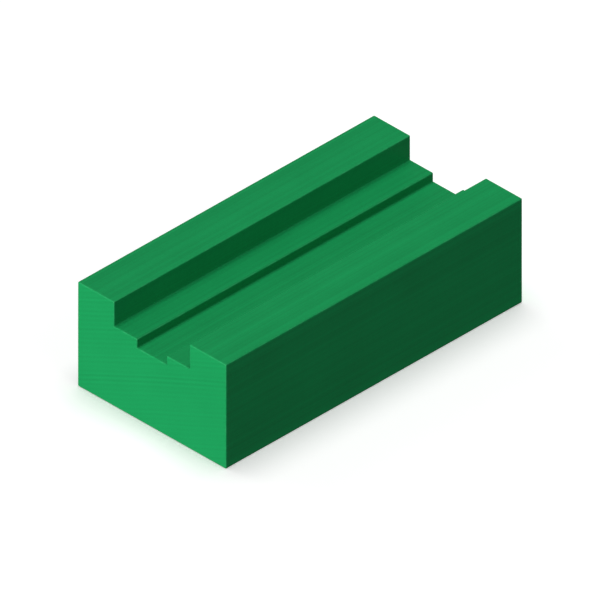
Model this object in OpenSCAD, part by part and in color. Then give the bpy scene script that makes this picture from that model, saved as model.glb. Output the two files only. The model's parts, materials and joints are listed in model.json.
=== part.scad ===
// Mounting block: one solid bar with a stepped channel along its top.
// A flat bar, rail foot or base plate lies between the two ribs on the two ledges, and the
// relief groove between the ledges clears bolt heads, nuts or a weld bead under it.
//
// Frame: millimetres, +X along the channel, +Y across it, +Z up.
// The origin is the centre of the underside.

/* [Block] */
// Length of the block, along the channel
block_length = 100; // [60:1:200]
// Width of the block, across the channel
block_width = 50; // [44:0.5:100]
// Height of the block, from the underside to the rib tops
block_height = 30; // [16:0.5:60]

/* [Channel] */
// Width of the channel, between the inner walls of the two ribs
channel_width = 25.5; // [20:0.1:40]
// Depth of the channel, from the rib tops down to the two ledges
channel_depth = 7; // [2:0.1:9]

/* [Relief groove] */
// Width of the relief groove, between the two ledges
groove_width = 10; // [4:0.1:16]
// Depth of the relief groove, from the ledges down to its floor
groove_depth = 2.5; // [1:0.1:5]

/* [Finish] */
// Leg of the 45 degree chamfer that breaks every outer edge
edge_break = 0.3; // [0.1:0.05:0.5]

/* [Hidden] */

// How far each cutter runs past the face that it cuts through
overrun = 0.2;
// Height of the two ledges, and of the groove's floor, above the underside
ledge_z = block_height - channel_depth;
groove_floor_z = ledge_z - groove_depth;

// Sweeps a section drawn in (Y, Z) along X, to both sides of the origin.
module along_x(length) {
    rotate([90, 0, 90])
        linear_extrude(height = length, center = true)
            children();
}

// Sweeps an outline drawn in (X, Z) along Y, to both sides of the origin.
module along_y(length) {
    rotate([90, 0, 0])
        linear_extrude(height = length, center = true)
            children();
}

// A rectangle from -width/2 to width/2 and from 0 to height, its four corners cut off at 45 degrees.
module chamfered_rectangle(width, height, cut) {
    half = width / 2;
    polygon([
        [cut - half, 0], [half - cut, 0], [half, cut], [half, height - cut],
        [half - cut, height], [cut - half, height], [-half, height - cut], [-half, cut]
    ]);
}

// The bar before the channel is cut: a box whose twelve edges are all broken.
module bar() {
    intersection() {
        along_x(block_length)
            chamfered_rectangle(block_width, block_height, edge_break);
        along_y(block_width)
            chamfered_rectangle(block_length, block_height, edge_break);
        linear_extrude(height = block_height)
            translate([0, -block_width / 2])
                chamfered_rectangle(block_length, block_width, edge_break);
    }
}

// The straight part of a slot, open at the top. Its walls and floor flare out at 45 degrees
// over the last edge_break of the block's length, which breaks its edges at both ends.
module slot_run(width, floor_z) {
    half_width = width / 2;
    flare_x = block_length / 2 - edge_break;
    flare = edge_break + overrun;
    end_x = flare_x + flare;
    top_z = block_height + overrun;
    intersection() {
        linear_extrude(height = top_z)
            polygon([
                [-end_x, -half_width - flare], [-flare_x, -half_width],
                [flare_x, -half_width], [end_x, -half_width - flare],
                [end_x, half_width + flare], [flare_x, half_width],
                [-flare_x, half_width], [-end_x, half_width + flare]
            ]);
        along_y(width + 2 * flare)
            polygon([
                [-end_x, floor_z - flare], [-flare_x, floor_z],
                [flare_x, floor_z], [end_x, floor_z - flare],
                [end_x, top_z], [-end_x, top_z]
            ]);
    }
}

// The two chamfers along a slot's mouth: a trapezium that opens upwards at 45 degrees.
module slot_mouth(width, mouth_z) {
    bottom = width / 2;
    top = bottom + edge_break + overrun;
    along_x(block_length + 2 * overrun)
        polygon([
            [-bottom, mouth_z - edge_break], [bottom, mouth_z - edge_break],
            [top, mouth_z + overrun], [-top, mouth_z + overrun]
        ]);
}

// One slot with every edge broken: its floor is at floor_z and it opens into the face at mouth_z.
module slot(width, floor_z, mouth_z) {
    slot_run(width, floor_z);
    slot_mouth(width, mouth_z);
}

module block() {
    color([0.11, 0.64, 0.35])
        difference() {
            bar();
            slot(channel_width, ledge_z, block_height);
            slot(groove_width, groove_floor_z, ledge_z);
        }
}

block();
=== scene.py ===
"""Looks of the mounting block: one solid green polyethylene bar with a stepped channel, on a pale floor.

Lengths are in metres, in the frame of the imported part: +X along the channel, +Y across it, +Z up.
"""

import json
import math

import bmesh
import bpy
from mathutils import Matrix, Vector, noise


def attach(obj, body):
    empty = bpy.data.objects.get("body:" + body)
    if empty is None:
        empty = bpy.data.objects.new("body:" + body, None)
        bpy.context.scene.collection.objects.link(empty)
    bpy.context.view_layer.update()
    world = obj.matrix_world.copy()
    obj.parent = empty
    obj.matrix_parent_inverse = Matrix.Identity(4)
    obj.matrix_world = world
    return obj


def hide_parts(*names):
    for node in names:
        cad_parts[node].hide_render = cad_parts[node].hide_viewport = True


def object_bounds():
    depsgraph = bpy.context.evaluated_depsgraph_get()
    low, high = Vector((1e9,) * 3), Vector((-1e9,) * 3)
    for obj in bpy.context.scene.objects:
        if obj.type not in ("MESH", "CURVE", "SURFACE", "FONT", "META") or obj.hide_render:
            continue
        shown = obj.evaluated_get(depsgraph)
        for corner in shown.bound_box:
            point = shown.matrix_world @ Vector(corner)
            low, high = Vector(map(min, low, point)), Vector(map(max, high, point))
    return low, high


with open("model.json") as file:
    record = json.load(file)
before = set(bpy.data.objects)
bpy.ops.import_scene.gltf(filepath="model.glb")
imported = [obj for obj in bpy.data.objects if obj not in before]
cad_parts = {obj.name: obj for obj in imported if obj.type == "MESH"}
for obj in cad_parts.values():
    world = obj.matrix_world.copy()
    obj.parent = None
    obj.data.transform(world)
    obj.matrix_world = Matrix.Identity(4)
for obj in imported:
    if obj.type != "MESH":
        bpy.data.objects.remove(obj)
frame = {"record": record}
cad_low, cad_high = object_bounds()

MM = 0.001

# The block's own sizes, all read from the frame
LENGTH = cad_high.x - cad_low.x
HALF_WIDTH = cad_high.y
TOP = cad_high.z
# The record's boxes for the openings stand this far off every wall and floor
OPENING_CLEARANCE = 0.1 * MM

# Mesh: the size of a cell on the flat faces, and how far the line beside each edge stands off it
CELL = 1.0 * MM
SUPPORT = 0.5 * MM
# Edges: the bend past which one counts as sharp, the radius of the outer rounds, the inner fillets'
# share of it, and the steps in each
SHARP_BEND = math.radians(45)
EDGE_RADIUS = 0.32 * MM
FILLET_SHARE = 0.6
EDGE_STEPS = 4
# How far the outer radius wanders along an edge, as a share of it, and over what length
EDGE_WANDER = 0.3
WANDER_LENGTH = 9 * MM
# A point counts as part of a sawn end where the X part of its normal is more than this
SAWN_FACING = 0.7

# Colours of the plastic, as linear red, green and blue: its darkest and lightest clean tone, where the
# edges are rubbed pale, and the darker green of the shade painted into the inner corners
DARK_GREEN = (0.0038, 0.190, 0.053, 1)
LIGHT_GREEN = (0.0056, 0.286, 0.082, 1)
RUBBED_GREEN = (0.070, 0.42, 0.19, 1)
CORNER_SHADE_GREEN = (0.0030, 0.130, 0.040, 1)
WHITE = (1, 1, 1, 1)
# How far from the clean tone the edges go to rubbed pale and the inner corners to painted shade, at most
RUBBING = 0.3
CORNER_SHADE = 0.45

# Unevenness of the plastic: the size of its broad mottle, of its fine grain and of the patches in which
# its edges are rubbed
MOTTLE_SIZE = 14 * MM
GRAIN_SIZE = 0.35 * MM
PATCH_SIZE = 2.2 * MM

# Marks of the machining: the widths of the cutter's broad and fine lines, the spacing of the feed ripple,
# whose ridges lie across the block, and that of the saw's arcs on the ends
BROAD_LINE = 1.4 * MM
FINE_LINE = 0.35 * MM
FEED_PITCH = 1.9 * MM
SAW_PITCH = 1.2 * MM
# The Y and Z of the centre of the saw blade
BLADE_CENTRE = (-400 * MM, -900 * MM)
# How far the phase of the ripple and of the arcs drifts, in radians, and over what length
PHASE_DRIFT = 0.9
DRIFT_LENGTH = 22 * MM
# Height of each kind of mark on the surface
GRAIN_HEIGHT = 0.003 * MM
LINE_HEIGHT = 0.005 * MM
FEED_HEIGHT = 0.004 * MM

# Lights: where each lies, how bright a white face turned to it looks, and its spread in degrees. A low
# key shines along the channel from each end, and weaker lights come from above and from both sides
LIGHTS = {
    "near key": ((-1, -0.02, 0.1), 1.38, 14),
    "far key": ((1, 0.02, 0.1), 1.1, 14),
    "top": ((0.05, 0.05, 1), 0.56, 40),
    "right": ((0.1, -1, 0.7), 0.125, 40),
    "left": ((-0.1, 1, 0.7), 0.125, 40),
}
# Brightness of the light from all round
AMBIENT = 0.135

# Floor: how far it reaches from the block, its gap under the block, so that the two faces don't lie in
# one plane, and its own glow, which brings it up to plain white
FLOOR_REACH = 30 * LENGTH
FLOOR_GAP = 0.01 * MM
FLOOR_GLOW = 0.25

# Camera: degrees round from the view along +Y, degrees above the floor, its distance, the width that it
# sees, and the height that it aims at
AZIMUTH = -45
ELEVATION = 34.25
CAMERA_DISTANCE = 10 * LENGTH
VIEW_WIDTH = 1.431 * LENGTH
AIM_HEIGHT = TOP / 2 - 2.3 * MM


def cut(name):
    """Half the width and the floor height of the cut that the record's opening of this name stands in."""
    openings = frame["record"]["physics"]["openings"]
    low, high = next(o["box_m"] for o in openings if o["name"] == name)
    return high[1] + OPENING_CLEARANCE, low[2] - OPENING_CLEARANCE


CHANNEL_HALF, LEDGE_Z = cut("channel_seat")
GROOVE_HALF, GROOVE_Z = cut("relief_groove")


def add_to_scene(name, data):
    """A new object of this data, in the scene."""
    made = bpy.data.objects.new(name, data)
    bpy.context.scene.collection.objects.link(made)
    return made


# ---------------------------------------------------------------- mesh

def grid_lines(stops):
    """The lines of the grid along one axis: each stop, a line close beside it, and even lines between."""
    found = [stops[0]]
    for start, end in zip(stops, stops[1:]):
        inner = end - start - 2 * SUPPORT
        count = max(1, round(inner / CELL))
        found += [start + SUPPORT + inner * i / count for i in range(count + 1)]
        found.append(end)
    return found


def is_solid(y, z):
    """Whether a point of the section is plastic: below the groove, beside the channel or in a ledge."""
    if not (abs(y) < HALF_WIDTH and 0 < z < TOP):
        return False
    if abs(y) > CHANNEL_HALF or z < GROOVE_Z:
        return True
    return z < LEDGE_Z and abs(y) > GROOVE_HALF


def sharp_block():
    """The block with sharp edges, as a bmesh of even quads that follow every edge."""
    xs = grid_lines([-LENGTH / 2, LENGTH / 2])
    ys = grid_lines([-HALF_WIDTH, -CHANNEL_HALF, -GROOVE_HALF, GROOVE_HALF, CHANNEL_HALF, HALF_WIDTH])
    zs = grid_lines([0, GROOVE_Z, LEDGE_Z, TOP])
    bm = bmesh.new()
    corners = {}

    def corner(i, j, k):
        if (i, j, k) not in corners:
            corners[i, j, k] = bm.verts.new((xs[i], ys[j], zs[k]))
        return corners[i, j, k]

    def solid_cell(j, k):
        if not (0 <= j < len(ys) - 1 and 0 <= k < len(zs) - 1):
            return False
        return is_solid((ys[j] + ys[j + 1]) / 2, (zs[k] + zs[k + 1]) / 2)

    last = len(xs) - 1
    for j in range(len(ys) - 1):
        for k in range(len(zs) - 1):
            if not solid_cell(j, k):
                continue
            around = [(j, k), (j, k + 1), (j + 1, k + 1), (j + 1, k)]
            bm.faces.new([corner(0, *a) for a in around])
            bm.faces.new([corner(last, *a) for a in reversed(around)])
            # Where the next cell is empty, that side of this one is swept along the block
            beyond = [(j - 1, k), (j, k + 1), (j + 1, k), (j, k - 1)]
            for side, cell in enumerate(beyond):
                if solid_cell(*cell):
                    continue
                a, b = around[side], around[(side + 1) % 4]
                for i in range(last):
                    bm.faces.new([corner(i, *b), corner(i, *a), corner(i + 1, *a), corner(i + 1, *b)])
    bm.normal_update()
    return bm


def weigh_edges(bm):
    """Gives each sharp edge its share of the bevel's radius: a wandering one outside, an even one inside."""
    weights = bm.edges.layers.float.new("bevel_weight_edge")
    for edge in bm.edges:
        if edge.calc_face_angle(0) < SHARP_BEND:
            continue
        if edge.is_convex:
            middle = (edge.verts[0].co + edge.verts[1].co) / 2
            edge[weights] = 1 - EDGE_WANDER * (0.5 + 0.5 * noise.noise(middle / WANDER_LENGTH))
        else:
            edge[weights] = FILLET_SHARE


def rounded(mesh, name):
    """A new object of the mesh with its weighted edges rounded."""
    shape = add_to_scene(name, mesh)
    bevel = shape.modifiers.new("rounds", "BEVEL")
    bevel.limit_method = "WEIGHT"
    bevel.width = EDGE_RADIUS
    bevel.segments = EDGE_STEPS
    bevel.use_clamp_overlap = False
    evaluated = shape.evaluated_get(bpy.context.evaluated_depsgraph_get())
    finished = bpy.data.meshes.new_from_object(evaluated)
    shape.modifiers.clear()
    shape.data = finished
    return shape


def is_inner_corner(point):
    """Whether a point lies in one of the four fillets, where a wall of the channel meets a floor."""
    reach = 2 * EDGE_RADIUS
    return any(abs(abs(point.y) - half) < reach and abs(point.z - floor) < reach
               for half, floor in ((CHANNEL_HALF, LEDGE_Z), (GROOVE_HALF, GROOVE_Z)))


def mark_surface(mesh):
    """Writes what the material needs to know at each point: worn edges, inner corners and sawn ends."""
    slant_at_45 = 1 - math.sqrt(0.5)
    worn = mesh.attributes.new("worn", "FLOAT", "POINT")
    corner = mesh.attributes.new("corner", "FLOAT", "POINT")
    sawn = mesh.attributes.new("sawn", "FLOAT", "POINT")
    for vertex in mesh.vertices:
        normal = vertex.normal
        slant = min(1, (1 - max(map(abs, normal))) / slant_at_45)
        inside = is_inner_corner(vertex.co)
        worn.data[vertex.index].value = 0 if inside else slant
        # The inner fillets are marked here so that the material can paint shade into them
        corner.data[vertex.index].value = slant if inside else 0
        sawn.data[vertex.index].value = abs(normal.x) > SAWN_FACING


def make_block():
    """The whole visible block: its mesh, rounded and marked for the material."""
    bm = sharp_block()
    weigh_edges(bm)
    mesh = bpy.data.meshes.new("block_body")
    bm.to_mesh(mesh)
    bm.free()
    block = rounded(mesh, "block_body")
    block.data.shade_smooth()
    mark_surface(block.data)
    return block


# ---------------------------------------------------------------- material

class Shader:
    """Builds one material's nodes. Every method that makes a node gives back its output."""

    def __init__(self, name):
        self.material = bpy.data.materials.new(name)
        self.material.use_nodes = True
        self.tree = self.material.node_tree
        self.surface = self.tree.nodes["Principled BSDF"]

    def node(self, kind, inputs, output=0, **settings):
        """A node of this kind. Its inputs are given by name or number, as numbers or as other outputs."""
        made = self.tree.nodes.new(kind)
        for name, value in settings.items():
            setattr(made, name, value)
        self.fill(made, inputs)
        return made.outputs[output]

    def fill(self, node, inputs):
        """Sets or links a node's inputs."""
        for key, value in inputs.items():
            if isinstance(value, bpy.types.NodeSocket):
                self.tree.links.new(value, node.inputs[key])
            else:
                node.inputs[key].default_value = value

    def math(self, operation, a, b=0.0):
        """The result of one operation on two numbers or values."""
        return self.node("ShaderNodeMath", {0: a, 1: b}, operation=operation)

    def total(self, base, *parts):
        """The base, plus amount times value for each part (amount, value)."""
        found = base
        for amount, value in parts:
            found = self.node("ShaderNodeMath", {0: value, 1: amount, 2: found}, operation="MULTIPLY_ADD")
        return found

    def mix(self, share, a, b):
        """A number or value that goes from a to b as share goes from 0 to 1."""
        return self.node("ShaderNodeMix", {"Factor": share, "A": a, "B": b}, data_type="FLOAT")

    def blend(self, share, a, b):
        """A colour that goes from a to b as share goes from 0 to 1."""
        return self.node("ShaderNodeMix", {0: share, 6: a, 7: b}, output=2, data_type="RGBA")

    def attribute(self, name):
        """What the mesh says of this name at each point."""
        return self.node("ShaderNodeAttribute", {}, output="Fac", attribute_name=name)

    def noise(self, place, size, detail=2.0):
        """Noise from about -1 to 1. size is how far its features reach along X, Y and Z."""
        scaled = self.node("ShaderNodeVectorMath", {0: place, 1: [1 / s for s in size]},
                           operation="MULTIPLY")
        raw = self.node("ShaderNodeTexNoise", {"Vector": scaled, "Scale": 1.0, "Detail": detail})
        return self.node("ShaderNodeMapRange", {"Value": raw, "From Min": 0.25, "From Max": 0.75,
                                                "To Min": -1.0, "To Max": 1.0})

    def ramp(self, value, low, high):
        """A smooth rise from 0, where value is low or less, to 1, where it is high or more."""
        return self.node("ShaderNodeMapRange", {"Value": value, "From Min": low, "From Max": high},
                         interpolation_type="SMOOTHSTEP")


def ripple(shader, distance, pitch, place):
    """An even wave along a distance, from -1 to 1, whose phase drifts a little from place to place."""
    drift = shader.noise(place, [DRIFT_LENGTH] * 3, detail=1)
    phase = shader.total(0.0, (2 * math.pi / pitch, distance), (PHASE_DRIFT, drift))
    return shader.math("SINE", phase)


def saw_marks(shader, place):
    """The fine arcs that a large circular blade leaves on an end, as a value around 0."""
    # Each point's distance from the centre of the blade, as seen from the end
    flat = shader.node("ShaderNodeVectorMath", {0: place, 1: (0, 1, 1)}, operation="MULTIPLY")
    radius = shader.node("ShaderNodeVectorMath", {0: flat, 1: (0, *BLADE_CENTRE)}, output=1,
                         operation="DISTANCE")
    along = shader.node("ShaderNodeCombineXYZ", {"X": radius})
    teeth = shader.noise(along, (SAW_PITCH / 2, 1, 1), detail=1)
    return shader.total(0.0, (0.32, teeth), (0.26, ripple(shader, radius, SAW_PITCH, place)))


def cutter_lines(shader, place):
    """The fine lines that the cutter's teeth draw along the block, as a value around 0."""
    # Their length is many times the block's, so that they run straight through it
    broad = shader.noise(place, (9 * LENGTH, BROAD_LINE, BROAD_LINE), detail=1)
    fine = shader.noise(place, (5 * LENGTH, FINE_LINE, FINE_LINE), detail=1)
    return shader.total(0.0, (0.45, broad), (0.75, fine))


def feed_ripple(shader, place):
    """The even ripple that a cutter leaves along the block's length as the block is fed past it."""
    x = shader.node("ShaderNodeSeparateXYZ", {0: place})
    return ripple(shader, x, FEED_PITCH, place)


def polyethylene():
    """Green machined polyethylene: satin, with cutter lines along the block and saw arcs on its ends."""
    shader = Shader("green_polyethylene")
    place = shader.node("ShaderNodeTexCoord", {}, output="Object")
    worn = shader.attribute("worn")
    corner = shader.attribute("corner")
    sawn = shader.attribute("sawn")

    mottle = shader.noise(place, [MOTTLE_SIZE] * 3, detail=3)
    grain = shader.noise(place, [GRAIN_SIZE] * 3)
    patchy = shader.ramp(shader.noise(place, [PATCH_SIZE] * 3, detail=3), -0.7, 0.9)
    lines = shader.mix(sawn, cutter_lines(shader, place), saw_marks(shader, place))
    feed = shader.mix(sawn, feed_ripple(shader, place), 0.0)

    # Where the clean tone lies between the dark and the light green, then what lies over it
    tone = shader.total(0.5, (0.10, mottle), (0.12, grain), (0.32, lines))
    clean = shader.blend(tone, DARK_GREEN, LIGHT_GREEN)
    # Painted shade: the inner corners darken towards a deeper green
    corner_shaded = shader.blend(shader.math("MULTIPLY", corner, CORNER_SHADE), clean, CORNER_SHADE_GREEN)
    rub = shader.math("MULTIPLY", worn, shader.math("MULTIPLY", patchy, RUBBING))
    colour = shader.blend(rub, corner_shaded, RUBBED_GREEN)

    height = shader.total(0.0, (GRAIN_HEIGHT, grain), (LINE_HEIGHT, lines), (FEED_HEIGHT, feed))
    bump = shader.node("ShaderNodeBump", {"Height": height, "Strength": 1.0, "Distance": 1.0})
    roughness = shader.total(0.5, (0.06, lines), (0.03, mottle), (-0.08, worn))

    # Its gloss is kept low, so that each face stays even in tone
    shader.fill(shader.surface, {"Base Color": colour, "Roughness": roughness, "Normal": bump,
                                 "IOR": 1.5, "Specular IOR Level": 0.12})
    return shader.material


# ---------------------------------------------------------------- stage

def turn(thing, towards):
    """Turns a light or a camera so that its back faces this direction."""
    thing.rotation_mode = "QUATERNION"
    thing.rotation_quaternion = towards.to_track_quat("Z", "Y")


def make_floor():
    """A plain white floor that carries the block's soft shadow."""
    bm = bmesh.new()
    bmesh.ops.create_grid(bm, x_segments=1, y_segments=1, size=FLOOR_REACH)
    mesh = bpy.data.meshes.new("floor")
    bm.to_mesh(mesh)
    bm.free()
    floor = add_to_scene("floor", mesh)
    floor.location.z = -FLOOR_GAP
    # Its bounce would wash the colour out of the sides
    floor.visible_diffuse = False
    floor.visible_glossy = False
    shader = Shader("floor_paint")
    shader.fill(shader.surface, {"Base Color": WHITE, "Roughness": 0.9, "Specular IOR Level": 0.1,
                                 "Emission Color": WHITE, "Emission Strength": FLOOR_GLOW})
    mesh.materials.append(shader.material)


def make_world():
    """Even white light from all round, weaker as a light than the plain white that the camera sees."""
    world = bpy.data.worlds.new("studio")
    world.use_nodes = True
    tree = world.node_tree
    seen = tree.nodes.new("ShaderNodeLightPath").outputs["Is Camera Ray"]
    strength = tree.nodes.new("ShaderNodeMix")
    strength.inputs["A"].default_value = AMBIENT
    strength.inputs["B"].default_value = 1
    tree.links.new(seen, strength.inputs["Factor"])
    tree.links.new(strength.outputs["Result"], tree.nodes["Background"].inputs["Strength"])
    tree.nodes["Background"].inputs["Color"].default_value = WHITE
    bpy.context.scene.world = world


def make_lights(block):
    """A sun for each row of the LIGHTS table."""
    lamps = {}
    for name, (towards, brightness, spread) in LIGHTS.items():
        light = bpy.data.lights.new(name, "SUN")
        light.energy = math.pi * brightness
        light.angle = math.radians(spread)
        lamps[name] = add_to_scene(name, light)
        turn(lamps[name], Vector(towards))
    # Its gloss would grey the tops
    lamps["far key"].visible_glossy = False
    # The keys light the block alone, because on the floor they would only draw long shadows
    lit = bpy.data.collections.new("lit_by_keys")
    lit.objects.link(block)
    for name in ("near key", "far key"):
        lamps[name].light_linking.receiver_collection = lit


def make_camera():
    """A parallel view down onto the corner between the near end and the right side."""
    azimuth, elevation = math.radians(AZIMUTH), math.radians(ELEVATION)
    level = math.cos(elevation)
    back = Vector((math.sin(azimuth) * level, -math.cos(azimuth) * level, math.sin(elevation)))
    data = bpy.data.cameras.new("camera")
    data.type = "ORTHO"
    data.ortho_scale = VIEW_WIDTH
    camera = add_to_scene("camera", data)
    turn(camera, back)
    camera.location = Vector((0, 0, AIM_HEIGHT)) + back * CAMERA_DISTANCE
    bpy.context.scene.camera = camera


block = make_block()
block.data.materials.append(polyethylene())
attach(block, "root")
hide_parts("block")

make_floor()
make_world()
make_lights(block)
make_camera()
bpy.context.scene.view_settings.view_transform = "Standard"
